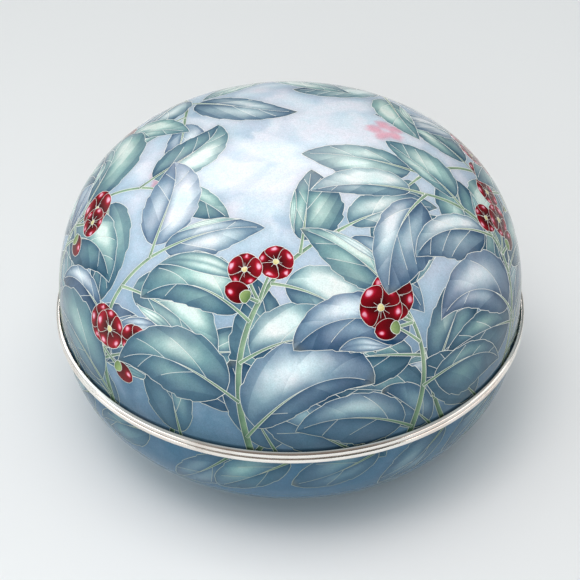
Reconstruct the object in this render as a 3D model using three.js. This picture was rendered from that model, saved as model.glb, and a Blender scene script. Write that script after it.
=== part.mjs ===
// A round lidded box of cloisonne enamel, in millimetres, +Z up, standing on z = 0.
// Two raised metal shells, enamelled inside and out, are closed along their mouths by silver rings.
// The lid is a high bun-shaped dome that lifts off; the bowl is shallower and stands on a silver foot.
import * as THREE from "three";

// How finely the turned pieces are faceted.
const SIDES_AROUND = 60;
const DOME_STEPS = 15;
const BOWL_STEPS = 11;
const BEAD_STEPS = 4;

// The enamelled shells.
const RIM_DIAMETER = 180; // over the silver rings, the widest place
const WALL = 2.2; // raised metal with fired enamel on both sides
const RING_STANDS_PROUD = 1.8; // of the enamel beside it
const DOME_HEIGHT = 70; // from the lid ring's top edge to the crown
const DOME_SHOULDER = 2.8; // exponents of the dome's outline: a higher one is squarer
const DOME_CROWN = 2.42;
const BOWL_DEPTH = 45.5; // from the bowl ring's lower edge to the flat underside
const BOWL_FLAT_RADIUS = 47.3; // where the underside starts to turn up
const BOWL_FLARE = 1.57;
const BOWL_BELLY = 2.19;

// The silver rings.
const LID_RING_HEIGHT = 2.3;
const BOWL_RING_HEIGHT = 2.2;
const FLANGE = 1.0; // the part of each ring that covers a shell's edge
const BEAD_CROWN = 0.45; // how far the outer face of a ring swells
const SEAM = 0.3; // the line that shows between the lid and the bowl
const SOLDER_LINE = 0.1; // between a shell and the silver fixed to it
const LIP_HEIGHT = 4; // the bowl ring's inner lip, above the seam
const LIP_THICKNESS = 1.2;
const LIP_CLEARANCE = 0.4; // round the lip, so that the lid lifts off freely

// The foot.
const FOOT_HEIGHT = 3;
const FOOT_RADIUS = 45;
const FOOT_THICKNESS = 2.4;
const FOOT_FLARE = 0.6; // the foot is that much wider at the floor

// Places that follow from the sizes.
const RING_RADIUS = RIM_DIAMETER / 2;
const SHELL_RADIUS = RING_RADIUS - RING_STANDS_PROUD;
const MOUTH_RADIUS = SHELL_RADIUS - WALL;
const UNDERSIDE = FOOT_HEIGHT;
const BOWL_RING_LOW = UNDERSIDE + BOWL_DEPTH;
const BOWL_RING_TOP = BOWL_RING_LOW + BOWL_RING_HEIGHT;
const LID_RING_LOW = BOWL_RING_TOP + SEAM;
const LID_RING_TOP = LID_RING_LOW + LID_RING_HEIGHT;
const LIP_RADIUS = MOUTH_RADIUS - LIP_CLEARANCE;

const enamel = new THREE.MeshStandardMaterial({ color: 0x8fa9c0, roughness: 0.15, metalness: 0 });
const silver = new THREE.MeshStandardMaterial({ color: 0xd9d4cf, roughness: 0.22, metalness: 1 });

// A quarter of a superellipse, from its end on the level of the mouth (radius wide) to its end at
// the pole (height high), as points of radius and height above the mouth.
function quarterCurve(wide, high, exponentAcross, exponentUp, steps) {
  const points = [];
  for (let i = 0; i <= steps; i++) {
    const turn = (i / steps) * (Math.PI / 2);
    const across = i === steps ? 0 : wide * Math.cos(turn) ** (2 / exponentAcross);
    const up = i === 0 ? 0 : high * Math.sin(turn) ** (2 / exponentUp);
    points.push(new THREE.Vector2(across, up));
  }
  return points;
}

// The same curve moved inwards by the wall. The first point moves level and the last one upright,
// because the curve is upright at the mouth and level at the pole.
function insetCurve(points, wall) {
  return points.map((point, i) => {
    if (i === 0) return new THREE.Vector2(point.x - wall, point.y);
    if (i === points.length - 1) return new THREE.Vector2(point.x, point.y - wall);
    const along = points[i + 1].clone().sub(points[i - 1]).normalize();
    return new THREE.Vector2(point.x - along.y * wall, point.y + along.x * wall);
  });
}

// A turned solid of a closed section. The section runs anticlockwise, radius to the right.
function turned(section) {
  const closed = [...section];
  const onAxis = section[0].x === 0 && section[section.length - 1].x === 0;
  if (!onAxis) closed.push(section[0].clone());
  const geometry = new THREE.LatheGeometry(closed, SIDES_AROUND);
  geometry.rotateX(Math.PI / 2);
  return geometry;
}

// The outer face of a ring, swelling between two heights, from low to high.
function bead(low, high) {
  const middle = (low + high) / 2;
  const points = [];
  for (let i = 0; i <= BEAD_STEPS; i++) {
    const height = low + ((high - low) * i) / BEAD_STEPS;
    const fromMiddle = (height - middle) / (high - middle);
    points.push(new THREE.Vector2(RING_RADIUS - BEAD_CROWN * fromMiddle ** 2, height));
  }
  return points;
}

// The lid's dome: upright at its edge, which sits in the lid ring's rebate, and closed at the crown.
function lidShell() {
  const outside = quarterCurve(SHELL_RADIUS, DOME_HEIGHT, DOME_SHOULDER, DOME_CROWN, DOME_STEPS);
  const inside = insetCurve(outside, WALL);
  const edge = LID_RING_LOW + FLANGE + SOLDER_LINE;
  const section = [
    new THREE.Vector2(MOUTH_RADIUS, edge),
    new THREE.Vector2(SHELL_RADIUS, edge),
    ...outside.map((p) => new THREE.Vector2(p.x, LID_RING_TOP + p.y)),
    ...inside.map((p) => new THREE.Vector2(p.x, LID_RING_TOP + p.y)).reverse(),
  ];
  const fromPole = section.findIndex((p) => p.x === 0) + 1;
  return turned([...section.slice(fromPole), ...section.slice(0, fromPole)]);
}

// The bowl: the curve runs down from the ring to the flat underside, and the inside follows it.
function bowlShell() {
  const flare = SHELL_RADIUS - BOWL_FLAT_RADIUS;
  const outside = quarterCurve(flare, BOWL_DEPTH, BOWL_FLARE, BOWL_BELLY, BOWL_STEPS);
  const inside = insetCurve(outside, WALL);
  const place = (p) => new THREE.Vector2(BOWL_FLAT_RADIUS + p.x, BOWL_RING_LOW - p.y);
  const edge = BOWL_RING_TOP - FLANGE - SOLDER_LINE;
  return turned([
    new THREE.Vector2(0, UNDERSIDE),
    ...outside.map(place).reverse(),
    new THREE.Vector2(SHELL_RADIUS, edge),
    new THREE.Vector2(MOUTH_RADIUS, edge),
    ...inside.map(place),
    new THREE.Vector2(0, UNDERSIDE + WALL),
  ]);
}

// The lid's ring: an angle section, with its flange under the dome's edge.
function lidRing() {
  return turned([
    new THREE.Vector2(MOUTH_RADIUS, LID_RING_LOW),
    ...bead(LID_RING_LOW, LID_RING_TOP),
    new THREE.Vector2(SHELL_RADIUS + SOLDER_LINE, LID_RING_TOP),
    new THREE.Vector2(SHELL_RADIUS + SOLDER_LINE, LID_RING_LOW + FLANGE),
    new THREE.Vector2(MOUTH_RADIUS, LID_RING_LOW + FLANGE),
  ]);
}

// The bowl's ring: an angle section over the bowl's edge, with a lip that stands up inside the lid.
function bowlRing() {
  const lipInside = LIP_RADIUS - LIP_THICKNESS;
  return turned([
    new THREE.Vector2(lipInside, BOWL_RING_TOP - FLANGE),
    new THREE.Vector2(SHELL_RADIUS + SOLDER_LINE, BOWL_RING_TOP - FLANGE),
    new THREE.Vector2(SHELL_RADIUS + SOLDER_LINE, BOWL_RING_LOW),
    ...bead(BOWL_RING_LOW, BOWL_RING_TOP),
    new THREE.Vector2(LIP_RADIUS, BOWL_RING_TOP),
    new THREE.Vector2(LIP_RADIUS, BOWL_RING_TOP + LIP_HEIGHT),
    new THREE.Vector2(lipInside, BOWL_RING_TOP + LIP_HEIGHT),
  ]);
}

// The foot: a low ring, a little wider at the floor, soldered to the flat underside.
function footRing() {
  const top = UNDERSIDE - SOLDER_LINE;
  return turned([
    new THREE.Vector2(FOOT_RADIUS - FOOT_THICKNESS, 0),
    new THREE.Vector2(FOOT_RADIUS + FOOT_FLARE, 0),
    new THREE.Vector2(FOOT_RADIUS, top),
    new THREE.Vector2(FOOT_RADIUS - FOOT_THICKNESS, top),
  ]);
}

function piece(name, geometry, material) {
  const mesh = new THREE.Mesh(geometry, material);
  mesh.name = name;
  return mesh;
}

const lid = new THREE.Group();
lid.add(piece("lid_shell", lidShell(), enamel), piece("lid_ring", lidRing(), silver));

const bowl = new THREE.Group();
bowl.add(
  piece("bowl_shell", bowlShell(), enamel),
  piece("bowl_ring", bowlRing(), silver),
  piece("foot_ring", footRing(), silver),
);

const box = new THREE.Group();
box.add(bowl, lid);

export default box;
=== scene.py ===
"""A round lidded box of cloisonne enamel: two enamelled shells closed by silver rings, on a foot."""

import math
import random

import bmesh
import bpy
import numpy as np
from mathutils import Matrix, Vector
from mathutils.geometry import delaunay_2d_cdt
from mathutils.kdtree import KDTree


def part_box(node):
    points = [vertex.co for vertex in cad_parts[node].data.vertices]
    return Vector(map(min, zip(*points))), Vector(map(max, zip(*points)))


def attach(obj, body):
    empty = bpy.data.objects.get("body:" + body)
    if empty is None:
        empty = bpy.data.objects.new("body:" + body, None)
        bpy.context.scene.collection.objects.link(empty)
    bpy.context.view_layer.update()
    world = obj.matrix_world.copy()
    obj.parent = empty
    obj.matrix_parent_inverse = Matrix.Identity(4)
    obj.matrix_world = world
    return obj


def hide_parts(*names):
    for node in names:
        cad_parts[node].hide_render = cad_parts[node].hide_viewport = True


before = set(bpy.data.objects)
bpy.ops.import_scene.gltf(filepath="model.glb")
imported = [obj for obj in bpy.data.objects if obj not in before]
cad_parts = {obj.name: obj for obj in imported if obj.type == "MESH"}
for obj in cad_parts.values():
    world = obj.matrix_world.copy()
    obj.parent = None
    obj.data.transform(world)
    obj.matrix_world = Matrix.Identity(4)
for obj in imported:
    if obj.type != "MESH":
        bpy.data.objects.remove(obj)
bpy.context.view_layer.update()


# The silver foot.
# A low turned ring of silver, soldered under the bowl. It is a little wider at the floor, and its
# edges are eased so that it doesn't scratch what the box stands on.
MM = 0.001
FOOT_THICKNESS, FOOT_FLARE, FOOT_EASE = 2.4 * MM, 0.6 * MM, 0.35 * MM
LATHE_LINE, TARNISH_PATCH, LINE_DEPTH = 0.625 * MM, 20 * MM, 0.01 * MM
SIDES_AROUND = 360


class Shade:
    """One output of a shader tree. Arithmetic on it adds Math nodes to the same tree."""

    def __init__(self, tree, socket=None):
        self.tree, self.socket = tree, socket

    def node(self, kind, settings=(), values=(), out=0):
        """Adds a node, sets its settings first, then sets or links its sockets, and gives one output."""
        made = self.tree.nodes.new(kind)
        for name, setting in dict(settings).items():
            if name == "stops":
                stops = made.color_ramp.elements
                while len(stops) < len(setting):
                    stops.new(1.0)
                for stop, (place, colour) in zip(stops, setting):
                    stop.position, stop.color = place, colour
            else:
                setattr(made, name, setting)
        for name, value in dict(values).items():
            if isinstance(value, Shade):
                value.feeds(made, name)
            else:
                made.inputs[name].default_value = value
        return Shade(self.tree, made.outputs[out])

    def feeds(self, node, name):
        self.tree.links.new(self.socket, node.inputs[name])

    def math(self, operation, *others):
        return self.node("ShaderNodeMath", {"operation": operation}, dict(enumerate((self, *others))))

    def __add__(self, other):
        return self.math("ADD", other)

    __radd__ = __add__

    def __sub__(self, other):
        return self.math("SUBTRACT", other)

    def __rsub__(self, other):
        return self.node("ShaderNodeMath", {"operation": "SUBTRACT"}, {0: other, 1: self})

    def __mul__(self, other):
        return self.math("MULTIPLY", other)

    __rmul__ = __mul__

    def __truediv__(self, other):
        return self.math("DIVIDE", other)

    def __pow__(self, other):
        return self.math("POWER", other)

    def __abs__(self):
        return self.math("ABSOLUTE")

    def fract(self):
        return self.math("FRACT")

    def smooth(self, low, high):
        """0 below low and 1 above high, with a soft step between them."""
        values = {"Value": self, "From Min": low, "From Max": high}
        return self.node("ShaderNodeMapRange", {"interpolation_type": "SMOOTHSTEP"}, values)

    def hump(self, middle, width):
        """1 at the middle, falling softly to about a third at that distance from it."""
        away = (self - middle) / width
        return (0 - away * away).math("EXPONENT")

    def split(self, out):
        return self.node("ShaderNodeSeparateXYZ", {}, {0: self}, out)

    def noise(self, size, detail=2.0, rough=0.5):
        """Soft noise over these places, with features of a given size."""
        values = {"Vector": self, "Scale": 1 / size, "Detail": detail, "Roughness": rough}
        return self.node("ShaderNodeTexNoise", {}, values)

    def ramp(self, *stops):
        """A colour by value, from stops of a place, red, green and blue. Colours go from 0 to 255."""
        stops = [(place, srgb(*colour)) for place, *colour in stops]
        return self.node("ShaderNodeValToRGB", {"stops": stops}, {0: self})

    def mixed(self, other, share, blend="MIX"):
        """This colour turned towards another by a share from 0 to 1."""
        settings = {"data_type": "RGBA", "blend_type": blend}
        return self.node("ShaderNodeMix", settings, {0: share, 6: self, 7: other}, 2)


def srgb(red, green, blue):
    """A colour given in 0 to 255, as the linear light that a shader takes."""
    parts = [c / 255 for c in (red, green, blue)]
    light = [c / 12.92 if c <= 0.04045 else ((c + 0.055) / 1.055) ** 2.4 for c in parts]
    return (*light, 1.0)


def new_material(name):
    """A node material, as the material, its tree and its Principled BSDF."""
    material = bpy.data.materials.new(name)
    material.use_nodes = True
    tree = material.node_tree
    return material, Shade(tree), tree.nodes["Principled BSDF"]


def placed(name, data):
    """A new object of the scene, at the origin."""
    made = bpy.data.objects.new(name, data)
    bpy.context.scene.collection.objects.link(made)
    return made


def polished_silver():
    """Bright silver with the fine round lines that polishing on a lathe leaves."""
    material, shade, skin = new_material("turned_silver")
    place = shade.node("ShaderNodeTexCoord", out=3)
    radius = (place.split(0) ** 2 + place.split(1) ** 2).math("SQRT")
    lines = shade.node("ShaderNodeCombineXYZ", {}, {0: radius, 2: place.split(2)}).noise(LATHE_LINE)
    tarnish = place.noise(TARNISH_PATCH, 3.0).smooth(0.35, 0.75)
    tarnish.ramp((0.0, 250, 245, 238), (1.0, 224, 213, 204)).feeds(skin, "Base Color")
    (0.13 + tarnish * 0.07 + lines * 0.05).feeds(skin, "Roughness")
    bumps = {"Height": lines, "Strength": 0.014, "Distance": LINE_DEPTH}
    shade.node("ShaderNodeBump", {}, bumps).feeds(skin, "Normal")
    skin.inputs["Metallic"].default_value = 1.0
    return material


def eased(corners, easing, steps=4):
    """A closed section of (radius, height) corners with each corner rounded off."""
    points = []
    for i, corner in enumerate(corners):
        here = Vector(corner)
        before, after = Vector(corners[i - 1]) - here, Vector(corners[(i + 1) % len(corners)]) - here
        cut = min(easing, before.length * 0.45, after.length * 0.45)
        start, end = here + before.normalized() * cut, here + after.normalized() * cut
        for k in range(steps + 1):
            t = k / steps
            points.append((1 - t) ** 2 * start + 2 * t * (1 - t) * here + t**2 * end)
    return points


def turned(name, section, material):
    """A ring turned round the Z axis from a closed section that runs anticlockwise."""
    mesh = bpy.data.meshes.new(name)
    points, faces = [], []
    count = len(section)
    for i in range(SIDES_AROUND):
        turn = math.tau * i / SIDES_AROUND
        points += [(p[0] * math.cos(turn), p[0] * math.sin(turn), p[1]) for p in section]
        here, there = i * count, (i + 1) % SIDES_AROUND * count
        for k in range(count):
            after = (k + 1) % count
            faces.append((here + k, there + k, there + after, here + after))
    mesh.from_pydata(points, [], faces)
    mesh.shade_smooth()
    mesh.materials.append(material)
    return placed(name, mesh)


silver = polished_silver()
foot_radius, _, foot_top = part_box("foot_ring")[1]
foot_inside = foot_radius - FOOT_FLARE - FOOT_THICKNESS
foot_corners = [
    (foot_inside, 0.0),
    (foot_radius, 0.0),
    (foot_radius - FOOT_FLARE, foot_top),
    (foot_inside, foot_top),
]
foot = turned("foot_ring_silver", eased(foot_corners, FOOT_EASE), silver)
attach(foot, "root")
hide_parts("foot_ring")


# The bowl's silver ring.
# An angle section of silver over the bowl's edge, with a swelling outer face and a lip that stands
# up inside the lid and keeps it in place. The lid only rests on it.
bowl_ring_low, bowl_ring_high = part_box("bowl_ring")
lid_ring_low, lid_ring_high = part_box("lid_ring")
bowl_shell_low, bowl_shell_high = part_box("bowl_shell")
WALL, FLANGE, SEAM, SOLDER = 2.2 * MM, 1.0 * MM, 0.3 * MM, 0.1 * MM
LIP_THICKNESS, LIP_CLEARANCE = 1.2 * MM, 0.4 * MM
RING_EASE, RING_GROOVE = 0.16 * MM, 0.5 * MM
BOWL_FACE_FALLS, LID_FACE_FALLS = (0.45 * MM, 0.32 * MM), (0.25 * MM, 1.0 * MM)  # below, above
RING_RADIUS, SHELL_RADIUS = bowl_ring_high[0], bowl_shell_high[0]
BOWL_RING_LOW, BOWL_RING_TOP = bowl_ring_low[2], lid_ring_low[2] - SEAM
MOUTH_RADIUS, REBATE_RADIUS = SHELL_RADIUS - WALL, SHELL_RADIUS + SOLDER
LIP_RADIUS, LIP_TOP = MOUTH_RADIUS - LIP_CLEARANCE, bowl_ring_high[2]


def bead(low, high, falls, steps=14):
    """The outer face of a ring between two heights, from low to high. It falls in to both edges."""
    face = []
    for i in range(steps + 1):
        t = 2 * i / steps - 1
        fall = falls[1] * t**2.5 if t > 0 else falls[0] * t**2
        face.append((RING_RADIUS - fall, (low + high) / 2 + (high - low) / 2 * t))
    return face


bowl_ring_corners = [
    (LIP_RADIUS - LIP_THICKNESS, BOWL_RING_TOP - FLANGE),
    (REBATE_RADIUS, BOWL_RING_TOP - FLANGE),
    (REBATE_RADIUS, BOWL_RING_LOW + RING_GROOVE),
    (REBATE_RADIUS + RING_GROOVE, BOWL_RING_LOW),
    *bead(BOWL_RING_LOW, BOWL_RING_TOP, BOWL_FACE_FALLS),
    (LIP_RADIUS, BOWL_RING_TOP),
    (LIP_RADIUS, LIP_TOP),
    (LIP_RADIUS - LIP_THICKNESS, LIP_TOP),
]
bowl_ring = turned("bowl_ring_silver", eased(bowl_ring_corners, RING_EASE, 2), silver)
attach(bowl_ring, "root")
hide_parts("bowl_ring")


# The lid's silver ring.
# The same silver round the lid's edge. A thin flange goes under the enamelled wall, and a fine
# groove is left between the ring's outer face and the enamel, where it was ground level.
LID_RING_LOW, LID_RING_TOP = lid_ring_low[2], lid_ring_high[2]
lid_ring_corners = [
    (MOUTH_RADIUS, LID_RING_LOW),
    *bead(LID_RING_LOW, LID_RING_TOP, LID_FACE_FALLS),
    (REBATE_RADIUS + RING_GROOVE, LID_RING_TOP),
    (REBATE_RADIUS, LID_RING_TOP - RING_GROOVE),
    (REBATE_RADIUS, LID_RING_LOW + FLANGE),
    (MOUTH_RADIUS, LID_RING_LOW + FLANGE),
]
lid_ring = turned("lid_ring_silver", eased(lid_ring_corners, RING_EASE, 2), silver)
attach(lid_ring, "root")
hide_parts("lid_ring")


# The picture in the enamel.
# Sprays of pointed leaves with small red blossoms rise round the box from below the rim, over both
# halves. Each outline and vein is a silver ribbon on edge, and each cell is filled with enamel.
lid_shell_low, lid_shell_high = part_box("lid_shell")
DOME_SHOULDER, DOME_CROWN = 2.8, 2.42
BOWL_FLARE, BOWL_BELLY, BOWL_FLAT_RADIUS = 1.57, 2.19, 47.3 * MM
POLISHED_DOWN = 0.05 * MM
PROFILE_STEPS = 4000
TINY, DEG = 1e-9, math.pi / 180


def quarter(wide, high, exponent_across, exponent_up):
    """A quarter of a superellipse, from (wide, 0) to (0, high)."""
    turn = np.linspace(0, math.pi / 2, PROFILE_STEPS)
    across = wide * np.clip(np.cos(turn), 0, 1) ** (2 / exponent_across)
    return across, high * np.sin(turn) ** (2 / exponent_up)


def whole_form():
    """The outline of the closed box from the crown's centre down to the underside's, as arrays."""
    underside, flare = bowl_shell_low[2], SHELL_RADIUS - BOWL_FLAT_RADIUS
    dome = quarter(SHELL_RADIUS, lid_shell_high[2] - LID_RING_TOP, DOME_SHOULDER, DOME_CROWN)
    bowl = quarter(flare, BOWL_RING_LOW - underside, BOWL_FLARE, BOWL_BELLY)
    radius = np.concatenate([dome[0][::-1], BOWL_FLAT_RADIUS + bowl[0], [0.0]])
    height = np.concatenate([LID_RING_TOP + dome[1][::-1], BOWL_RING_LOW - bowl[1], [underside]])
    radius[0] = 0.0
    steps = np.hypot(np.diff(radius), np.diff(height))
    arc = np.concatenate([[0.0], np.cumsum(steps)])
    keep = np.concatenate([[True], steps > TINY])
    return radius[keep], height[keep], arc[keep]


# A place on the form is an arc, measured down it from the crown's centre, and an angle round it.
form_radius, form_height, form_arc = whole_form()
form_slope = np.gradient(form_radius, form_arc)
form_fall = np.gradient(form_height, form_arc)
LID_EDGE, RIM, BOWL_EDGE = (
    float(np.interp(-height, -form_height, form_arc))
    for height in (lid_shell_low[2], LID_RING_LOW, bowl_shell_high[2])
)
UNDER = float(form_arc[-1])


def along_form(arc, values):
    return np.interp(arc, form_arc, values)


def normals_at(arc, angle):
    """The outward normals of the enamel at places."""
    out, up = -along_form(arc, form_fall), along_form(arc, form_slope)
    size = np.hypot(out, up)
    out, up = out / size, up / size
    return np.stack([out * np.cos(angle), out * np.sin(angle), up], -1)


def points_at(arc, angle, lift=0.0):
    """The points in space at places on the enamel, or lifted off it."""
    radius = along_form(arc, form_radius)
    points = np.stack([radius * np.cos(angle), radius * np.sin(angle), along_form(arc, form_height)], -1)
    return points + normals_at(arc, angle) * (lift - POLISHED_DOWN)


def advance(arc, angle, heading, length, bend=0.0):
    """One step along the form. A heading of 0 goes down, and of a quarter turn goes to the right.
    A step with no bend follows the straightest line on the form."""
    def rates(arc, heading):
        turn = np.sin(heading) / np.maximum(along_form(arc, form_radius), 1 * MM)
        return np.cos(heading), turn, bend - along_form(arc, form_slope) * turn

    down, round_axis, veer = rates(arc, heading)
    half = length / 2
    down, round_axis, veer = rates(arc + down * half, heading + veer * half)
    return arc + down * length, angle + round_axis * length, heading + veer * length


def walk(start, length, bend=0.0, steps=24):
    """A path of places and headings. The bend may be a rule of the share walked and the heading."""
    places = [start]
    for i in range(steps):
        turn = bend((i + 0.5) / steps, places[-1][2]) if callable(bend) else bend
        places.append(advance(*places[-1], length / steps, turn))
    return tuple(np.array([float(p[i]) for p in places]) for i in range(3))


def sideways(arc, angle, heading, reach, steps=3):
    """Places at a distance to the right of places on a path, or to the left where it is negative."""
    side = heading + np.where(np.asarray(reach) < 0, -math.pi / 2, math.pi / 2)
    for _ in range(steps):
        arc, angle, side = advance(arc, angle, side, np.abs(reach) / steps)
    return arc, angle


# The kinds of cell. The ground is what no cell covers, and the inside is the lining.
GROUND, LEAF, STEM, PETAL, CENTRE, BUD, CALYX, INSIDE = range(8)


class Cell:
    """One cell of the picture: a band along a path on the form, with a width on each side."""

    def __init__(self, path, widths, kind=GROUND, tone=0.5):
        self.path = self.arc, self.angle, self.heading = path
        steps = np.linalg.norm(np.diff(points_at(self.arc, self.angle), axis=0), axis=1)
        self.length = float(steps.sum())
        self.share = np.minimum(np.concatenate([[0.0], np.cumsum(steps)]) / self.length, 1.0)
        self.right, self.left = widths(self.share)
        self.kind, self.tone, self.seed = kind, tone, random.random()
        self.veins, self.free_veins = [], False
        self.lean, self.vein_count, self.fold = 1.0, 0, 0.0
        right = np.stack(sideways(*path, self.right), -1)
        left = np.stack(sideways(*path, -self.left), -1)
        first, last = (1 if self.left[i] + self.right[i] < TINY else 0 for i in (0, -1))
        self.outline = np.concatenate([right, left[first : len(left) - last][::-1]])

    def at(self, share, across):
        """The place at a share of the length, and a distance across."""
        return np.stack(sideways(*(np.interp(share, self.share, v) for v in self.path), across), -1)

    def inside(self, points):
        """For points in space: share along, distance across over the length, and across over the width."""
        path = points_at(self.arc, self.angle)
        ahead = np.gradient(path, self.share * self.length, axis=0)
        ahead /= np.linalg.norm(ahead, axis=1)[:, None]
        aside = np.cross(normals_at(self.arc, self.angle), ahead)
        nearest = np.argmin(((points[:, None] - path[None]) ** 2).sum(-1), axis=1)
        offset = points - path[nearest]
        along = self.share[nearest] + (offset * ahead[nearest]).sum(-1) / self.length
        across = (offset * aside[nearest]).sum(-1)
        right, left = (np.interp(along, self.share, half) for half in (self.right, self.left))
        relative = np.clip(across / np.maximum(np.where(across > 0, right, left), 0.05 * MM), -1, 1)
        return np.stack([np.clip(along, 0, 1), across / self.length, relative], -1)


SPRAYS, LOW_SPRAYS, RIM_LEAVES, PALE_LEAVES = 11, 15, 38, 44
STEM_WIDTH, LOW_STEM_WIDTH, STALK_WIDTH = 2.4 * MM, 1.9 * MM, 1.2 * MM
TALLEST_MM, STEM_SHARES = 108, (0.95, 0.5, 0.78, 0.6)
BLOSSOM_SIZE, PETALS, STAMENS, START_BELOW = 14.5 * MM, 5, 6, 0.5 * MM
TOOTH, LEAF_STEPS = 0.075, 34
VEIN_CURL, VEIN_ROOM, FIRST_RIGHT, FIRST_LEFT = 1.5, 0.8, 0.75, 0.45
LEAST_HALF_WITH_VEINS, CURLED_FROM_WIDTH = 3.4 * MM, 14 * MM
picture = []
random.seed(21)
vary = random.uniform


def leaf_widths(half_width, tilt, teeth=0, roundness=0.6, point=0.9):
    """Widths of a leaf on its right and left. A tilted leaf shows one half wider; teeth point on."""
    phases = random.random(), random.random()
    peak = roundness / (roundness + point)
    full = peak**roundness * (1 - peak) ** point

    def margin(share, phase):
        saw = 1 - (share * teeth + phase) % 1.0 if teeth else 0.0
        return half_width * share**roundness * (1 - share) ** point / full * (1 - TOOTH * saw)

    return lambda share: ((1 + tilt) * margin(share, phases[0]), (1 - tilt) * margin(share, phases[1]))


def lay_veins(leaf):
    """The midrib and the side veins of a leaf, as wires. The shader repeats the veins' rule."""
    leaf.veins.append(leaf.at(np.linspace(0.0, 0.92, 26), np.zeros(26)))
    for side, first, half in ((1, FIRST_RIGHT, leaf.right), (-1, FIRST_LEFT, leaf.left)):
        widest = np.max(half)
        for k in range(leaf.vein_count):
            root = (k + first) / (leaf.vein_count + VEIN_ROOM)

            def share_at(out):
                return root + leaf.lean * out / leaf.length * (1 + VEIN_CURL * out / leaf.length)

            if random.random() < 0.4 or widest < LEAST_HALF_WITH_VEINS:
                continue
            out = np.linspace(0, 1, 50) * widest * 1.2
            share = share_at(out)
            reach = vary(0.6, 0.98) * np.interp(share, leaf.share, half)
            within = (out <= reach) & (share < 0.96)
            if within.sum() > 4:
                out = np.linspace(0, out[within][-1], max(5, int(out[within][-1] / (1.1 * MM)) + 1))
                leaf.veins.append(leaf.at(share_at(out), side * out))


def add_curl(leaf, side, first, last, depth):
    """A margin rolled over the leaf, that shows its paler underside."""
    share = np.linspace(first, last, 22)
    half = np.convolve(leaf.right if side > 0 else leaf.left, np.ones(7) / 7, "same")
    half = np.interp(share, leaf.share, half)
    roll = np.sin(math.pi * np.linspace(0, 1, len(share))) ** 0.8
    wide = half * depth * 0.5 * roll
    arc, angle = leaf.at(share, side * half * (1 - depth * 0.5 * roll)).T
    heading = np.arctan2(np.gradient(angle) * along_form(arc, form_radius), np.gradient(arc))
    tone = min(1.0, leaf.tone + 0.28)
    picture.append(Cell((arc, angle, np.unwrap(heading)), lambda share: (wide, wide), LEAF, tone))


def add_leaf(start, length, width, droop=16.0, curl=0.0, tilt=0.0, tone=0.5, stalk=5 * MM, veins=3,
             teeth=6, roundness=0.6, point=0.9):
    """A drooping leaf on a stalk. The stalk runs on as a narrow green wedge along the midrib."""
    def bend(share, heading):
        return curl - droop * math.sin(heading) * (0.4 + 1.2 * share)

    step = length / LEAF_STEPS
    first = max(1, round(stalk / step))
    whole = walk(start, step * (LEAF_STEPS + first), bend, LEAF_STEPS + first)
    widths = leaf_widths(width / 2, tilt, teeth, roundness, point)
    leaf = Cell(tuple(v[first:] for v in whole), widths, LEAF, tone)
    middle = leaf.heading[LEAF_STEPS // 2]
    leaf.fold = max(-1.0, min(1.0, 0.6 * math.sin(middle) + vary(-0.55, 0.55)))
    leaf.lean, leaf.vein_count = vary(1.0, 1.9), veins - (random.random() < 0.4)
    lay_veins(leaf)
    picture.append(leaf)
    if random.random() < 0.3 and width > CURLED_FROM_WIDTH:
        add_curl(leaf, random.choice((-1, 1)), vary(0.08, 0.2), vary(0.6, 0.85), vary(0.35, 0.6))
    reach = first + int(LEAF_STEPS * vary(0.3, 0.55))

    def wedge(share):
        half = STALK_WIDTH / 2 * (1 - share) ** 0.8
        return half, half

    picture.append(Cell(tuple(v[: reach + 1] for v in whole), wedge, STEM, tone))


def add_stem(start, length, width, bend=0.0, tone=0.5, taper=0.5, steps=30):
    def widths(share):
        half = width / 2 * (1 - (1 - taper) * share)
        return half, half

    picture.append(Cell(walk(start, length, bend, steps), widths, STEM, tone))
    return picture[-1]


def add_round(centre, length, width, kind, tone=0.5, blunt=0.5):
    """A round or egg-shaped cell whose middle is at a place."""
    arc, angle, heading = centre
    start = advance(arc, angle, heading + math.pi, length / 2)

    def widths(share):
        body = np.sqrt(np.clip(share * (1 - share), 0, 1)) * 2
        half = width / 2 * (body * (1 + blunt * (share - 0.5)))
        return half, half

    path = walk((start[0], start[1], start[2] - math.pi), length, 0.0, 12)
    picture.append(Cell(path, widths, kind, tone))
    return picture[-1]


def add_blossom(centre, size, tone=0.5):
    """A five-petalled blossom, with fine stamens round its centre."""
    arc, angle, _ = centre
    tilt = vary(0.0, math.tau)
    order = list(range(PETALS))
    random.shuffle(order)

    def widths(share):
        body = np.sin(math.pi * np.clip(share, 0, 1) ** 1.45) ** 0.62
        return size * 0.31 * body, size * 0.31 * body

    for k in order:
        turn = tilt + k * math.tau / PETALS
        start = advance(arc, angle, turn, size * 0.03)
        path = walk((start[0], start[1], turn), size * vary(0.45, 0.51), 0.0, 16)
        picture.append(Cell(path, widths, PETAL, tone))
    heart = add_round(centre, size * 0.17, size * 0.17, CENTRE, tone)
    heart.free_veins = True
    for k in range(STAMENS):
        turn = tilt + (k + 0.5) * math.tau / STAMENS
        inner = advance(arc, angle, turn, size * 0.085)
        outer = advance(arc, angle, turn, size * vary(0.17, 0.24))
        heart.veins.append(np.array([inner[:2], outer[:2]]))


def add_bud(centre, size, tone=0.5):
    """A closed bud in a green calyx. The heading points to its tip."""
    arc, angle, heading = centre
    add_round(centre, size, size * 0.8, BUD, tone, -0.2)
    base = advance(arc, angle, heading + math.pi, size * 0.36)
    add_round((base[0], base[1], heading), size * 0.42, size * 0.5, CALYX, tone, -0.5)


def place_on(cell, share, turn=0.0):
    """A place on a cell's path, with a heading turned from the path's."""
    arc, angle, heading = (float(np.interp(share, cell.share, v)) for v in cell.path)
    return arc, angle, heading + turn


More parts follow.
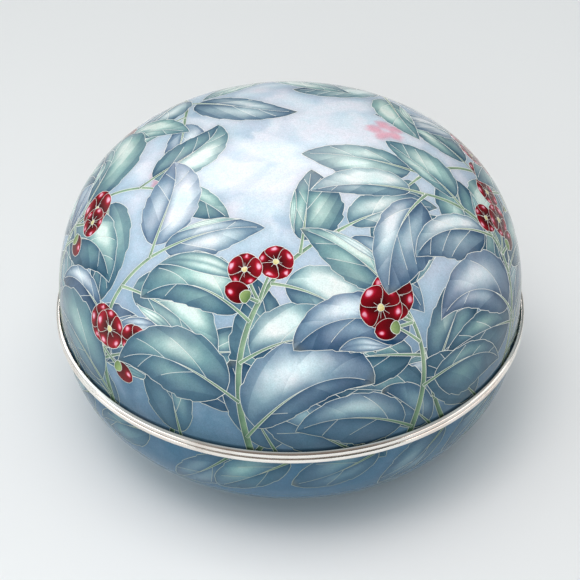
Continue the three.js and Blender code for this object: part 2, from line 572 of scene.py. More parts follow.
def add_cluster(place, side, tone, count):
    """Blossoms and a bud on short stalks that spread from one place."""
    arc, angle, heading = place
    spots = []
    for k in range(count):
        turn = heading + side * (0.2 + 0.7 * (k - (count - 1) / 2)) + vary(-0.2, 0.2)
        reach = vary(8, 15) * MM * (1.25 if k == count // 2 else 1.0)
        stalk = add_stem((arc, angle, turn), reach, STALK_WIDTH, side * -10.0, tone, 0.8, 10)
        spots.append(place_on(stalk, 1.0))
    for spot in spots[:-1]:
        add_blossom(spot, BLOSSOM_SIZE * vary(0.8, 1.1), tone)
    add_bud(spots[-1], BLOSSOM_SIZE * 0.62, tone)


def grow_low_spray(k):
    """A short stem behind the others, with a fan of darker leaves."""
    sway = random.choice((-1, 1))
    angle = math.tau * k / LOW_SPRAYS + vary(-0.1, 0.1)
    start = (RIM + START_BELOW, angle, math.pi + sway * vary(0.1, 0.7))
    stem = add_stem(start, vary(18, 52) * MM, LOW_STEM_WIDTH, -sway * 12.0, 0.3, 0.5, 24)
    for i, share in enumerate(sorted(vary(0.3, 1.0) for _ in range(3))):
        side = 1 if (i + k) % 2 else -1
        length = vary(34, 46) * MM
        add_leaf(place_on(stem, share, side * vary(25, 80) * DEG), length, length * vary(0.46, 0.56),
                 vary(8, 28), 0.0, vary(-0.4, 0.4), vary(0.08, 0.36))


def grow_rim_leaf(k):
    """A short broad leaf that comes out from under the rings, upwards or down over the bowl."""
    down = k % 2
    side = random.choice((-1, 1))
    turn = side * (vary(42, 76) if down else vary(105, 172)) * DEG
    place = (RIM + (1.5 if down else 0.0) * MM, math.tau * k / RIM_LEAVES + vary(-0.07, 0.07), turn)
    length = vary(27, 38) * MM
    add_leaf(place, length, length * vary(0.46, 0.6), vary(-4, 14), 0.0, vary(-0.3, 0.3),
             vary(0.15, 0.5), 3 * MM, 2, 4, 0.6, 0.68)


def grow_spray(k):
    """One stem from below the rim towards the crown, with leaves on both sides and a cluster."""
    angle = math.tau * k / SPRAYS + vary(-0.08, 0.08)
    stem_length = (TALLEST_MM * STEM_SHARES[k % 4] + vary(-6, 6)) * MM
    sway = random.choice((-1, 1))
    start = (RIM + START_BELOW, angle, math.pi + sway * vary(0.2, 0.5))

    def bend(share, heading):
        return -sway * 16 * math.sin(2.6 * share)

    stem = add_stem(start, stem_length, STEM_WIDTH, bend, 0.5, 0.45, 40)
    count = max(4, round(stem_length / (14 * MM)))
    places = [(0.08 + 0.88 * i / (count - 1), 1 if (i + k) % 2 else -1) for i in range(count)]
    for share, side in sorted(places, key=lambda place: random.random()):
        place = place_on(stem, share, side * vary(34, 74) * DEG)
        up = float(np.clip(1 - place[0] / RIM, 0, 1))
        length = vary(38, 50) * MM * (1 - 0.14 * share)
        tone = min(1.0, max(0.1, 0.4 + 0.35 * up + vary(-0.25, 0.25)))
        add_leaf(place, length, length * vary(0.46, 0.58), vary(14, 38), side * vary(-4, 10),
                 vary(-0.45, 0.45), tone, point=vary(0.75, 1.1))
    side = -places[-1][1]
    add_leaf(place_on(stem, 0.97, 0.1 * side), 36 * MM, 15 * MM, 14, 0.0, 0.25 * side, 0.75)
    if k % 4 == 1:
        add_cluster(place_on(stem, 0.8, side * 0.6), side, 0.6, 3)
    else:
        add_cluster(place_on(stem, vary(0.35, 0.62), side * 0.75), side, 0.5, 4 if k % 2 else 3)


for k in range(LOW_SPRAYS):
    grow_low_spray(k)
for k in range(0, RIM_LEAVES, 2):
    grow_rim_leaf(k)
for k in range(SPRAYS):
    grow_spray(k)
for k in range(1, RIM_LEAVES, 2):
    grow_rim_leaf(k)

# Soft shapes with no wires lie deep in the ground: pale and grey leaves, and two pink blossoms.
GOLDEN_TURN = 0.381966
BLUSH_PLACES, BLUSH_REACH, BLUSH_HALF = ((36 * MM, 14 * DEG), (47 * MM, -158 * DEG)), 8 * MM, 3.4 * MM
pale_leaves, blushes = [], []
for k in range(PALE_LEAVES):
    start = (vary(16, 112) * MM, math.tau * k * GOLDEN_TURN + vary(-0.2, 0.2), vary(0, math.tau))
    widths = leaf_widths(vary(7, 10) * MM, vary(-0.3, 0.3))
    pale = Cell(walk(start, vary(32, 46) * MM, vary(-14, 14)), widths)
    pale.tone, pale.fold = vary(-0.55, 0.35), random.choice((-0.4, 0.4))
    pale_leaves.append(pale)


def blush_widths(share):
    half = BLUSH_HALF * np.sin(math.pi * share**1.3) ** 0.6
    return half, half


for arc, angle in BLUSH_PLACES:
    for k in range(PETALS):
        path = walk((arc, angle, k * math.tau / PETALS + 0.3), BLUSH_REACH, 0.0, 12)
        blushes.append(Cell(path, blush_widths))


# The enamelled shells.
# Each half is a raised metal shell with enamel fired on both faces and ground to a smooth skin.
# The lid and the bowl are one surface cut along every outline, so that each cell has its own colour.
SPACING = 1.75 * MM
ROW_GAP, CLEAR_OF_LINES = 0.87, 0.3  # as shares of the spacing
EDGE_POINTS = 360
SHADE_REACH = 4.5 * MM
PALE_EDGE, BLUSH_EDGE = 2.4 * MM, 1.8 * MM
CLOUD, WASH, DRIFT, SWELL, MOTTLE, GRAIN = 22 * MM, 6 * MM, 11 * MM, 7 * MM, 1.3 * MM, 0.45 * MM
GLASS_IOR, LID_GLOSS, BOWL_GLOSS = 1.52, 0.17, 0.1
OUTLINE_GAUGE, PETAL_GAUGE, VEIN_GAUGE, STAMEN_GAUGE = 1.0, 0.7, 0.85, 0.6
MERGED_WITHIN, INNER_RINGS = 1e-7, 26
# In millimetres: the heights over which a colour turns from its look at the rings to the crown's,
# the level where the ground is about palest, and the depths over which painted shade darkens it to the
# back.
GROUND_RISE, LEAF_RISE, LILAC_RISE, STEM_RISE = (68, 108), (60, 112), (58, 92), (52, 96)
LEAF_DEEP_RISE, GROUND_FULL, SHADED_BACK_DEPTHS = (52, 102), 125, (0, 80)
# The painted shade by the lid's ring: the heights where it starts, and those over the ring where it fades.
RING_SHADE_FROM, RING_SHADE_FADE, RING_SHADE_LINE = (49.0, 53.0), (0.0, 9.0), (0.1, 1.1)
UNDER_SHADE = srgb(60, 88, 112)
BLUSH_PINK, TIP_BROWN = srgb(232, 130, 150), srgb(122, 118, 90)
GROUND_BLUES = (
    (0.05, 54, 98, 124),
    (0.34, 76, 113, 136),
    (0.50, 98, 130, 151),
    (0.70, 148, 175, 194),
    (0.86, 190, 209, 222),
    (0.98, 223, 232, 238),
)
LEAF_TEALS = (
    (0.0, 40, 76, 96),
    (0.26, 80, 113, 129),
    (0.5, 120, 155, 157),
    (0.72, 168, 200, 192),
    (0.94, 224, 240, 229),
)
LEAF_LILACS = (
    (0.0, 34, 68, 96),
    (0.26, 80, 104, 130),
    (0.5, 132, 153, 173),
    (0.72, 190, 203, 213),
    (0.94, 232, 240, 244),
)
LOW_GREENS = (0.0, 58, 88, 74), (0.5, 106, 140, 106), (1.0, 160, 188, 146)
HIGH_GREENS = (0.0, 98, 128, 108), (0.5, 150, 178, 144), (1.0, 202, 220, 190)
REDS = (0.0, 72, 4, 10), (0.35, 134, 10, 24), (0.62, 184, 24, 52), (1.0, 246, 186, 204)
CENTRE_YELLOWS = (0.0, 206, 196, 120), (1.0, 236, 228, 176)
CALYX_GREENS = (0.0, 92, 122, 72), (1.0, 160, 182, 116)
LINING_BLUES = (0.3, 150, 172, 188), (0.7, 186, 203, 214)


def spread_points(first, last):
    """Places spread evenly over the form between two arcs, in rings."""
    arcs, angles = [], []
    rows = int((last - first) / (SPACING * ROW_GAP))
    for i in range(1, rows):
        arc = first + (last - first) * i / rows
        count = max(6, int(math.tau * along_form(arc, form_radius) / SPACING))
        arcs.append(np.full(count, arc))
        angles.append(np.arange(count) * math.tau / count + (i % 2) * math.pi / count)
    return np.concatenate(arcs), np.concatenate(angles)


def inside_outline(points, outline):
    """Which points of the flat chart lie inside a closed outline."""
    x, y = points[:, 0][:, None], points[:, 1][:, None]
    x0, y0 = outline[:, 0][None], outline[:, 1][None]
    x1, y1 = np.roll(outline[:, 0], -1)[None], np.roll(outline[:, 1], -1)[None]
    crosses = (y0 > y) != (y1 > y)
    slope = (x1 - x0) / np.where(np.abs(y1 - y0) < 1e-12, 1e-12, y1 - y0)
    return (np.sum(crosses & (x < (y - y0) * slope + x0), axis=1) % 2).astype(bool)


def chart_lid(arc, angle):
    return np.stack([arc * np.cos(angle), arc * np.sin(angle)], -1)


def chart_bowl(arc, angle):
    return chart_lid(UNDER - arc, -angle)


def crosses_petals(owner, cell):
    """Whether a cell is one of the petals just before the blossom's centre that owns the stamens."""
    return picture[owner].free_veins and owner - PETALS <= cell < owner


def pave(chart, edge, pole, reaches):
    """Cuts one half's surface along its outlines and veins, on a flat chart round its pole.
    Gives places, triangles, each triangle's cell, and the edges that carry a wire."""
    near = [i for i, cell in enumerate(picture) if reaches(cell.outline[:, 0])]
    corners, edges, vein_of = [], [], {}

    def lay(points, closed):
        first = sum(len(c) for c in corners)
        corners.append(points)
        count = len(points)
        for i in range(count - (0 if closed else 1)):
            edges.append((first + i, first + (i + 1) % count))

    turn = np.arange(EDGE_POINTS) * math.tau / EDGE_POINTS
    lay(chart(np.full(EDGE_POINTS, edge), turn), True)
    for i in near:
        lay(chart(*picture[i].outline.T), True)
        for vein in picture[i].veins:
            first = len(edges)
            lay(chart(*vein.T), False)
            vein_of.update((k, i) for k in range(first, len(edges)))
    drawn = np.concatenate(corners)
    tree = KDTree(len(drawn))
    for i, (x, y) in enumerate(drawn):
        tree.insert((x, y, 0), i)
    tree.balance()
    spread = chart(*spread_points(*sorted((pole, edge))))
    room = [tree.find((x, y, 0))[2] > SPACING * CLEAR_OF_LINES for x, y in spread]
    verts = np.concatenate([drawn, spread[room]])
    found = delaunay_2d_cdt([Vector(v) for v in verts], edges, [], 0, MERGED_WITHIN, True)
    flat = np.array([tuple(v) for v in found[0]])
    faces = np.array(found[2])
    middles = flat[faces].mean(axis=1)
    top = np.full(len(faces), -1)
    for i in near:
        outline = chart(*picture[i].outline.T)
        close = np.where(((middles > outline.min(0)) & (middles < outline.max(0))).all(1))[0]
        if len(close):
            top[close[inside_outline(middles[close], outline)]] = i
    kept = np.hypot(*middles.T) < abs(edge - pole) * math.cos(math.pi / EDGE_POINTS) + 1e-6
    faces, top = faces[kept], top[kept]
    beside = {}
    for face, cell in zip(faces, top):
        for a, b in zip(face, np.roll(face, -1)):
            beside.setdefault((min(a, b), max(a, b)), []).append(cell)
    wires = []
    for (a, b), sources in zip(found[1], found[4]):
        cells = beside.get((min(a, b), max(a, b)), [])
        if len(cells) != 2:
            continue
        if cells[0] != cells[1]:
            petal = picture[min(cells)].kind == PETAL
            wires.append((a, b, PETAL_GAUGE if petal else OUTLINE_GAUGE))
        elif cells[0] >= 0:
            owners = [vein_of[s] for s in sources if s in vein_of]
            mine = [o for o in owners if o == cells[0] or crosses_petals(o, cells[0])]
            if mine:
                stamen = picture[mine[0]].kind == CENTRE
                wires.append((a, b, STAMEN_GAUGE if stamen else VEIN_GAUGE))
    arc = np.hypot(*flat.T)
    angle = np.arctan2(flat[:, 1], flat[:, 0])
    if pole > edge:
        arc, angle = UNDER - arc, -angle
    return arc, angle, faces, top, wires


def soft_cover(cells, points, edge):
    """How far points lie under soft unwired shapes, from 0 to 1, and how light the topmost one is."""
    cover, light = np.zeros(len(points)), np.zeros(len(points))
    for cell in cells:
        path = points_at(cell.arc, cell.angle)
        close = np.where(((points - path.mean(0)) ** 2).sum(1) < (cell.length * 0.75) ** 2)[0]
        if not len(close):
            continue
        along, across, relative = cell.inside(points[close]).T
        wide = np.interp(along, cell.share, (cell.right + cell.left) / 2)
        inwards = np.minimum((1 - np.abs(relative)) * wide, np.minimum(along, 1 - along) * cell.length)
        step = np.clip(inwards / edge, 0, 1)
        step = step * step * (3 - 2 * step)
        cover[close] = np.maximum(cover[close], step)
        here = cell.tone + cell.fold * np.clip(relative * 3, -1, 1)
        light[close] += (here - light[close]) * step
    return cover, light


def dark_under(places, corner_places, corner_cells):
    """How near each corner is to the outline of a cell that lies over its own, from 0 to 1."""
    owned = [(i, point) for i, cell in enumerate(picture) for point in points_at(*cell.outline.T)]
    tree = KDTree(len(owned))
    for n, (_, point) in enumerate(owned):
        tree.insert(point, n)
    tree.balance()
    done = {}
    dark = np.zeros(len(corner_places))
    for n, (place, cell) in enumerate(zip(corner_places, corner_cells)):
        key = (place, cell)
        if key not in done:
            near = [d for _, i, d in tree.find_range(places[place], SHADE_REACH) if owned[i][0] > cell]
            done[key] = (1 - min(near) / SHADE_REACH) ** 1.5 if near else 0.0
        dark[n] = done[key]
    return dark


def inner_skin(first, last, edge_height, far_height):
    """The inner skin as (radius, height) points, a wall inside the form, from the edge to the pole."""
    points = points_at(np.linspace(first, last, INNER_RINGS), np.zeros(INNER_RINGS), -WALL)
    section = [(MOUTH_RADIUS, edge_height)] + [(p[0], p[2]) for p in points if p[0] > 1 * MM]
    return section + [(0.0, far_height)]


def close_shell(name, paving, edge, skin, material):
    """A shell from its outer skin, an inner skin of (radius, height) points and the edge between."""
    arc, angle, faces, top, _ = paving
    outer = points_at(arc, angle)
    count = len(outer)
    rim = [i for i in range(count) if abs(arc[i] - edge) < 0.002 * MM]
    rim.sort(key=lambda i: angle[i] % math.tau)
    points, all_faces = [tuple(p) for p in outer], [tuple(int(i) for i in f) for f in faces]
    turns = [angle[i] for i in rim]
    previous = rim
    for radius, height in skin[:-1]:
        ring = list(range(len(points), len(points) + len(turns)))
        points += [(radius * math.cos(t), radius * math.sin(t), height) for t in turns]
        for i in range(len(turns)):
            j = (i + 1) % len(turns)
            all_faces.append((previous[i], previous[j], ring[j], ring[i]))
        previous = ring
    points.append((0.0, 0.0, skin[-1][1]))
    for i in range(len(turns)):
        all_faces.append((previous[i], previous[(i + 1) % len(turns)], len(points) - 1))
    mesh = bpy.data.meshes.new(name)
    mesh.from_pydata(points, [], all_faces)
    body = bmesh.new()
    body.from_mesh(mesh)
    bmesh.ops.recalc_face_normals(body, faces=body.faces)
    body.to_mesh(mesh)
    body.free()
    mesh.shade_smooth()
    mesh.materials.append(material)

    corner_at, totals = np.empty(len(mesh.loops), int), np.empty(len(mesh.polygons), int)
    mesh.loops.foreach_get("vertex_index", corner_at)
    mesh.polygons.foreach_get("loop_total", totals)
    corner_face = np.repeat(np.arange(len(totals)), totals)
    on_top = np.where(corner_face < len(faces))[0]
    cells = np.full(len(corner_at), -2)
    cells[on_top] = top[corner_face[on_top]]
    chart, form = np.zeros((len(corner_at), 3)), np.zeros((len(corner_at), 3))
    paint, smooth = np.zeros((len(corner_at), 4)), np.zeros((len(corner_at), 3))
    all_points = np.array(points)
    for cell in np.unique(cells[cells >= 0]):
        mine, shape = np.where(cells == cell)[0], picture[cell]
        chart[mine] = shape.inside(all_points[corner_at[mine]])
        paint[mine, :3] = shape.kind, shape.tone, shape.seed
        form[mine] = shape.lean, shape.vein_count, shape.fold
    paint[cells == -2, 0] = INSIDE
    paint[on_top, 3] = dark_under(all_points, corner_at[on_top], cells[on_top])
    soft = np.zeros((len(points), 3))
    soft[:count, 0] = soft_cover(pale_leaves, outer, PALE_EDGE)[1]
    soft[:count, 1] = soft_cover(blushes, outer, BLUSH_EDGE)[0]
    for title, kind, domain, field, values in (
        ("cell_place", "FLOAT_VECTOR", "CORNER", "vector", chart),
        ("cell_form", "FLOAT_VECTOR", "CORNER", "vector", form),
        ("cell_paint", "FLOAT_COLOR", "CORNER", "color", paint),
        ("soft_shapes", "FLOAT_VECTOR", "POINT", "vector", soft),
    ):
        mesh.attributes.new(title, kind, domain).data.foreach_set(field, values.ravel())
    smooth[on_top] = normals_at(arc[corner_at[on_top]], angle[corner_at[on_top]])
    mesh.normals_split_custom_set([tuple(n) for n in smooth])
    return placed(name, mesh)


def enamel(name, gloss):
    """Glass enamel: watercolour-like leaves, red petals and a graded ground, under one gloss."""
    material, shade, skin = new_material(name)

    def given(attribute, out=1):
        return shade.node("ShaderNodeAttribute", {"attribute_name": attribute}, out=out)

    place = shade.node("ShaderNodeTexCoord", out=3)
    height = place.split(2) / MM
    chart, form, soft, paint = (given("cell_place"), given("cell_form"), given("soft_shapes"),
                                given("cell_paint", 0))
    along, across, relative = (chart.split(i) for i in range(3))
    lean, veins, fold = (form.split(i) for i in range(3))
    kind, tone, seed = (paint.node("ShaderNodeSeparateColor", {}, {0: paint}, i) for i in range(3))
    under = given("cell_paint", 3)
    cloud, wash, mottle = (place.noise(size) for size in (CLOUD, WASH, MOTTLE))
    grain = place.noise(GRAIN, 2.0, 0.7)

    # The ground is dark by the rings and pale at the crown, clouded, with soft shapes in it.
    high = height.smooth(*GROUND_RISE)
    level = height + (cloud - 0.5) * 26 + (wash - 0.5) * (24 - high * 18)
    # Painted shade: the ground is darkened towards the back, the side away from the camera.
    level = level + soft.split(0) * (24 - high * 8) - (place.split(1) / MM).smooth(*SHADED_BACK_DEPTHS) * 18
    ground = (level / GROUND_FULL).ramp(*GROUND_BLUES)
    ground = ground.mixed(BLUSH_PINK, soft.split(1) * 0.62)
    ground = ground.mixed(UNDER_SHADE, under * 0.22)

    # A leaf is folded along its midrib, gleams on one half, and darkens to its margin and its ends.
    flank, out, aside = relative.math("SIGN"), abs(across), abs(relative)
    root = along - lean * out * (1 + VEIN_CURL * out)
    panel = root * (veins + VEIN_ROOM) + 1 - (FIRST_RIGHT + FIRST_LEFT) / 2
    panel = (panel - flank * ((FIRST_RIGHT - FIRST_LEFT) / 2)).fract()
    lit = 0.5 + flank * fold * 0.5
    gleam = along.hump(0.36 + seed * 0.16, 0.25) * aside.hump(0.22 + lit * 0.22, 0.36)
    light = tone * 0.38 + 0.19 + height.smooth(*LEAF_RISE) * 0.12
    light = light + gleam * (0.16 + lit * 0.44) + (lit - 0.5) * 0.2
    light = light - along.smooth(0.55, 1.0) * 0.16 - (1 - along.smooth(0.0, 0.22)) * 0.14
    light = light - aside.smooth(0.5, 1.0) * 0.12 - (1 - lit) * aside.hump(0.0, 0.2) * 0.16
    light = light + (0.5 - panel) * aside.smooth(0.0, 0.3) * veins.math("MINIMUM", 1.0) * 0.12
    light = light + (wash - 0.5) * 0.2 - under * 0.2
    light = light + (0.2 - light) * (1 - height.smooth(*LEAF_DEEP_RISE)) * 0.52
    lilac = (seed * 7.31).fract().smooth(0.35, 0.95) * (0.32 + height.smooth(*LILAC_RISE) * 0.6)
    leaf = light.ramp(*LEAF_TEALS).mixed(light.ramp(*LEAF_LILACS), lilac)
    tip = along.smooth(0.9, 1.0) * (seed * 3.17).fract().smooth(0.3, 0.7)
    leaf = leaf.mixed(TIP_BROWN, tip * 0.4)

    stem_light = tone * 0.3 + 0.3 - relative * 0.25 + (wash - 0.5) * 0.4 - under * 0.3
    stem = stem_light.ramp(*LOW_GREENS)
    stem = stem.mixed(stem_light.ramp(*HIGH_GREENS), height.smooth(*STEM_RISE))
    glow = along.hump(0.78, 0.16) * abs(relative - 0.25 + seed * 0.3).hump(0.0, 0.4)
    petal_light = 0.18 + along * 0.25 + glow * 0.75 + (wash - 0.5) * 0.4 - under * 0.3
    bud_glow = along.hump(0.72, 0.14) * (relative - 0.3).hump(0.0, 0.3)
    bud_light = 0.2 + bud_glow * 0.9 + (wash - 0.5) * 0.3 - under * 0.2
    colour = ground
    for which, filled in (
        (LEAF, leaf),
        (STEM, stem),
        (PETAL, petal_light.ramp(*REDS)),
        (CENTRE, along.ramp(*CENTRE_YELLOWS)),
        (BUD, bud_light.ramp(*REDS)),
        (CALYX, (along + (wash - 0.5)).ramp(*CALYX_GREENS)),
        (INSIDE, (wash * 0.6 + cloud * 0.4).ramp(*LINING_BLUES)),
    ):
        colour = colour.mixed(filled, kind.math("COMPARE", float(which), 0.5))

    # Fine grain, a slow drift of hue, and painted shade on the enamel just above the lid's ring.
    over_ring = height - LID_RING_TOP / MM
    # Painted shade: a thin dark line and a wider soft band darken the enamel just above the lid's ring.
    ring_shade = (1 - over_ring.smooth(*RING_SHADE_FADE)) * 0.22 + (1 - over_ring.smooth(*RING_SHADE_LINE)) * 0.3
    ring_shade = ring_shade * height.smooth(*RING_SHADE_FROM)
    grain_and_ring_shade = ((grain - 0.5) * 0.58 + (mottle - 0.5) * 0.14 + 1.0) * (1 - ring_shade)
    warmth = (mottle - 0.5) * 0.12 + (place.noise(DRIFT, 3.0) - 0.5) * 0.42 + 0.015
    parts = {0: grain_and_ring_shade * 0.975 + warmth, 1: grain_and_ring_shade * 0.985, 2: grain_and_ring_shade * 1.02}
    grey = shade.node("ShaderNodeCombineColor", {}, parts)
    colour.mixed(grey, 1.0, "MULTIPLY").feeds(skin, "Base Color")
    (0.07 + grain * 0.05).feeds(skin, "Roughness")
    bumps = {"Height": place.noise(SWELL, 1.0), "Strength": 0.12, "Distance": 0.1 * MM}
    shade.node("ShaderNodeBump", {}, bumps).feeds(skin, "Normal")
    skin.inputs["IOR"].default_value = GLASS_IOR
    skin.inputs["Specular IOR Level"].default_value = gloss
    return material


lid_paving = pave(chart_lid, LID_EDGE, 0.0, lambda arcs: arcs.min() <= LID_EDGE + 0.5 * MM)
bowl_paving = pave(chart_bowl, BOWL_EDGE, UNDER, lambda arcs: arcs.max() >= BOWL_EDGE - 0.5 * MM)
lid_skin = inner_skin(RIM - 2.5 * MM, 2 * MM, lid_shell_low[2], lid_shell_high[2] - WALL)
bowl_skin = inner_skin(BOWL_EDGE + 1.5 * MM, UNDER - 2 * MM, bowl_shell_high[2], bowl_shell_low[2] + WALL)
lid_glass, bowl_glass = enamel("lid_enamel", LID_GLOSS), enamel("bowl_enamel", BOWL_GLOSS)
lid = close_shell("lid_shell_enamel", lid_paving, LID_EDGE, lid_skin, lid_glass)
bowl = close_shell("bowl_shell_enamel", bowl_paving, BOWL_EDGE, bowl_skin, bowl_glass)
for shell, node in ((lid, "lid_shell"), (bowl, "bowl_shell")):
    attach(shell, "root")
    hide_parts(node)


# The silver wires.
# Ribbons of fine silver stand on edge between the cells. After the last firing they are ground and
# polished with the enamel, so that only their top edges show, a hair proud of the glass.
WIRE_SIZES = {"Width": 0.25 * MM, "Stand": 0.035 * MM, "Depth": 0.25 * MM}
WIRE_PATCH = 100 / 9 * MM


def wire_silver():
    material, shade, skin = new_material("wire_silver")
    place = shade.node("ShaderNodeTexCoord", out=3)
    patches = place.noise(WIRE_PATCH)
    # Painted shade and light: the wires are dull low on the box and bright high up, with random patches
    # over that.
    painted_light_and_patches = (place.split(2) / MM).smooth(52, 84) + (patches - 0.5) * 0.3
    painted_light_and_patches.ramp((0.0, 156, 166, 152), (1.0, 242, 244, 238)).feeds(skin, "Base Color")
    (0.3 + patches * 0.2).feeds(skin, "Roughness")
    skin.inputs["Metallic"].default_value = 0.4
    return material


def ribbon_tree(material):
    """Geometry nodes that lay a flat ribbon along each edge, turned to the enamel's normal."""
    tree = bpy.data.node_groups.new("ribbon_on_edge", "GeometryNodeTree")
    tree.interface.new_socket("Paths", in_out="INPUT", socket_type="NodeSocketGeometry")
    for name in WIRE_SIZES:
        tree.interface.new_socket(name, in_out="INPUT", socket_type="NodeSocketFloat")
    tree.interface.new_socket("Ribbons", in_out="OUTPUT", socket_type="NodeSocketGeometry")
    shade = Shade(tree)
    given = tree.nodes.new("NodeGroupInput")
    paths, width, stand, depth = (Shade(tree, given.outputs[i]) for i in range(4))
    curves = shade.node("GeometryNodeMeshToCurve", {}, {"Mesh": paths})
    up, gauge = (
        shade.node("GeometryNodeInputNamedAttribute", {"data_type": kind}, {"Name": name})
        for name, kind in (("up", "FLOAT_VECTOR"), ("gauge", "FLOAT"))
    )
    curves = shade.node("GeometryNodeSetCurveNormal", {"mode": "FREE"}, {"Curve": curves, "Normal": up})
    section = shade.node(
        "GeometryNodeCurvePrimitiveQuadrilateral",
        {"mode": "TRAPEZOID"},
        {"Height": stand + depth, "Bottom Width": width, "Top Width": width * 0.7, "Offset": 0.0},
    )
    raised = shade.node("ShaderNodeCombineXYZ", {}, {0: (stand - depth) * 0.5})
    upright = {"Geometry": section, "Translation": raised, "Rotation": (0.0, 0.0, -math.pi / 2)}
    section = shade.node("GeometryNodeTransform", {}, upright)
    swept = {"Curve": curves, "Profile Curve": section, "Scale": gauge, "Fill Caps": True}
    ribbons = shade.node("GeometryNodeCurveToMesh", {}, swept)
    ribbons = shade.node("GeometryNodeRealizeInstances", {}, {"Geometry": ribbons})
    ribbons = shade.node("GeometryNodeSetMaterial", {}, {"Geometry": ribbons, "Material": material})
    ribbons.feeds(tree.nodes.new("NodeGroupOutput"), 0)
    return tree


def lay_wires(name, paving, tree):
    """The wires of one half, each a ribbon along an edge of its paving."""
    arc, angle, _, _, wires = paving
    used = sorted({int(i) for a, b, _ in wires for i in (a, b)})
    number = {old: new for new, old in enumerate(used)}
    gauges = np.full(len(used), STAMEN_GAUGE)
    for a, b, gauge in wires:
        for i in (a, b):
            gauges[number[i]] = max(gauges[number[i]], gauge)
    mesh = bpy.data.meshes.new(name + "_paths")
    places = points_at(arc[used], angle[used])
    mesh.from_pydata([tuple(p) for p in places], [(number[a], number[b]) for a, b, _ in wires], [])
    ups = normals_at(arc[used], angle[used])
    mesh.attributes.new("up", "FLOAT_VECTOR", "POINT").data.foreach_set("vector", ups.ravel())
    mesh.attributes.new("gauge", "FLOAT", "POINT").data.foreach_set("value", gauges)
    paths = placed(name + "_paths", mesh)
    ribbon = paths.modifiers.new("ribbons", "NODES")
    ribbon.node_group = tree
    for socket in tree.interface.items_tree:
        if socket.name in WIRE_SIZES:
            ribbon[socket.identifier] = WIRE_SIZES[socket.name]
    done = paths.evaluated_get(bpy.context.evaluated_depsgraph_get())
    made = placed(name, bpy.data.meshes.new_from_object(done))
    made.data.name = name
    bpy.data.objects.remove(paths)
    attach(made, "root")


ribbons = ribbon_tree(wire_silver())
lay_wires("lid_wires", lid_paving, ribbons)
lay_wires("bowl_wires", bowl_paving, ribbons)


# The floor, the light and the camera.
# The box stands on a plain pale floor under a broad soft light, with a smaller one to its left and a
# cool one in front. Four lamps show in the gloss alone. The camera looks down from the front.
FLOOR_HALF, FLOOR_COLOUR = 3.0, srgb(237, 238, 238)
WARM, COOL = (1.0, 0.93, 0.91), (0.72, 0.9, 0.965)
LIGHTS_ALONE, MIRRORED_ALONE = (False, True), (True, False)
LAMPS = (  # name, place, the height it points to, width, height, power, colour, and what it reaches
    ("overhead", (-0.1, -0.42, 1.5), 0.05, 1.45, 1.4, 12.6, WARM, LIGHTS_ALONE),
    ("key", (-0.24, -0.42, 1.3), 0.05, 0.45, 0.45, 2.8, WARM, LIGHTS_ALONE),
    ("front", (-0.22, -1.22, 0.7), 0.05, 1.1, 0.6, 5.6, COOL, LIGHTS_ALONE),
    ("back", (-0.12, 0.95, 1.0), 0.1, 0.85, 0.45, 5.4, WARM, MIRRORED_ALONE),
    ("right", (1.0, 0.15, 0.32), 0.08, 0.35, 0.62, 1.0, WARM, MIRRORED_ALONE),
    ("left card", (-1.15, -0.5, 0.28), 0.06, 1.0, 0.5, 3.2, WARM, MIRRORED_ALONE),
    ("right card", (1.1, -0.38, 0.26), 0.06, 1.0, 0.46, 2.4, WARM, MIRRORED_ALONE),
)
ROOM_TINT, DIM_TINT = (0.83, 0.94, 0.98), (0.9, 0.76, 0.68)
CAMERA_PLACE, CAMERA_TILT, LENS, SENSOR = (-0.0001, -0.45915, 0.4087), 52.34, 93.1, 36.0

floor_mesh = bpy.data.meshes.new("floor")
corners = [(x * FLOOR_HALF, y * FLOOR_HALF, 0) for x, y in ((-1, -1), (1, -1), (1, 1), (-1, 1))]
floor_mesh.from_pydata(corners, [], [(0, 1, 2, 3)])
floor_paint, _, floor_skin = new_material("pale_floor")
floor_skin.inputs["Base Color"].default_value = FLOOR_COLOUR
floor_skin.inputs["Roughness"].default_value = 0.9
floor_skin.inputs["Specular IOR Level"].default_value = 0.0
floor_mesh.materials.append(floor_paint)
placed("floor", floor_mesh)

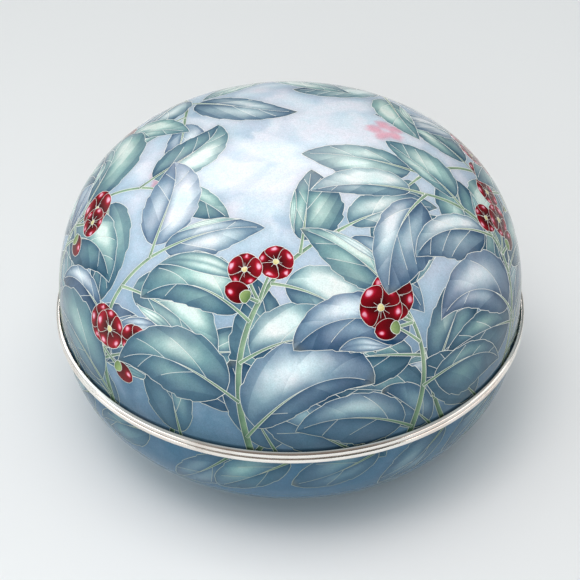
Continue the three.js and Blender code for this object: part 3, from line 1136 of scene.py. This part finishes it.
for name, place, aim, width, height, power, colour, (mirrored, lights) in LAMPS:
    lamp = bpy.data.lights.new(name, "AREA")
    lamp.shape, lamp.size, lamp.size_y, lamp.energy = "RECTANGLE", width, height, power
    lamp.color = colour
    made = placed(name, lamp)
    made.location = place
    made.rotation_euler = (Vector((0.0, 0.0, aim)) - Vector(place)).to_track_quat("-Z", "Y").to_euler()
    made.visible_glossy, made.visible_diffuse = mirrored, lights

# Beyond the lamps the room is pale and cool. It is dim and warm behind the camera, dimmer along the
# back and low on the right, and brighter low on the left and in one high spot at the left.
world = bpy.data.worlds.new("studio")
world.use_nodes = True
room = Shade(world.node_tree)
gaze = room.node("ShaderNodeTexCoord", out=0)


def facing(direction):
    """How far the gaze turns to a direction, from -1 to 1."""
    x, y, z = Vector(direction).normalized()
    return gaze.split(0) * x + gaze.split(1) * y + gaze.split(2) * z


dim = facing((0.12, -1.0, 0.6)).smooth(0.55, 0.9)
far = facing((0.15, 1.0, 0.05)).smooth(0.45, 0.95)
spot = facing((-0.8, 0.42, 0.42)).smooth(0.88, 1.0)
card = facing((-0.85, -0.5, 0.15)).smooth(0.78, 0.97)
band = (1 - abs(gaze.split(2)).smooth(0.05, 0.4)) * facing((-0.3, 1.0, 0.0)).smooth(0.1, 0.6)
shady = (1 - abs(gaze.split(2)).smooth(0.1, 0.4)) * facing((1.0, -0.35, 0.0)).smooth(0.2, 0.9)
glow = 0.52 + card * 0.25 - dim * 0.3 - far * 0.2 - shady * 0.4
background = world.node_tree.nodes["Background"]
((glow + spot * 1.3) * (1 - band * 0.6)).feeds(background, "Strength")
tint = room.node("ShaderNodeCombineColor", {}, dict(enumerate(ROOM_TINT)))
tint.mixed((*DIM_TINT, 1.0), dim.math("MAXIMUM", band * 0.35)).feeds(background, "Color")
bpy.context.scene.world = world
bpy.context.scene.view_settings.view_transform = "Standard"

camera = placed("camera", bpy.data.cameras.new("camera"))
camera.data.lens, camera.data.sensor_width = LENS, SENSOR
camera.location = CAMERA_PLACE
camera.rotation_euler = (math.radians(CAMERA_TILT), 0.0, 0.0)
bpy.context.scene.camera = camera
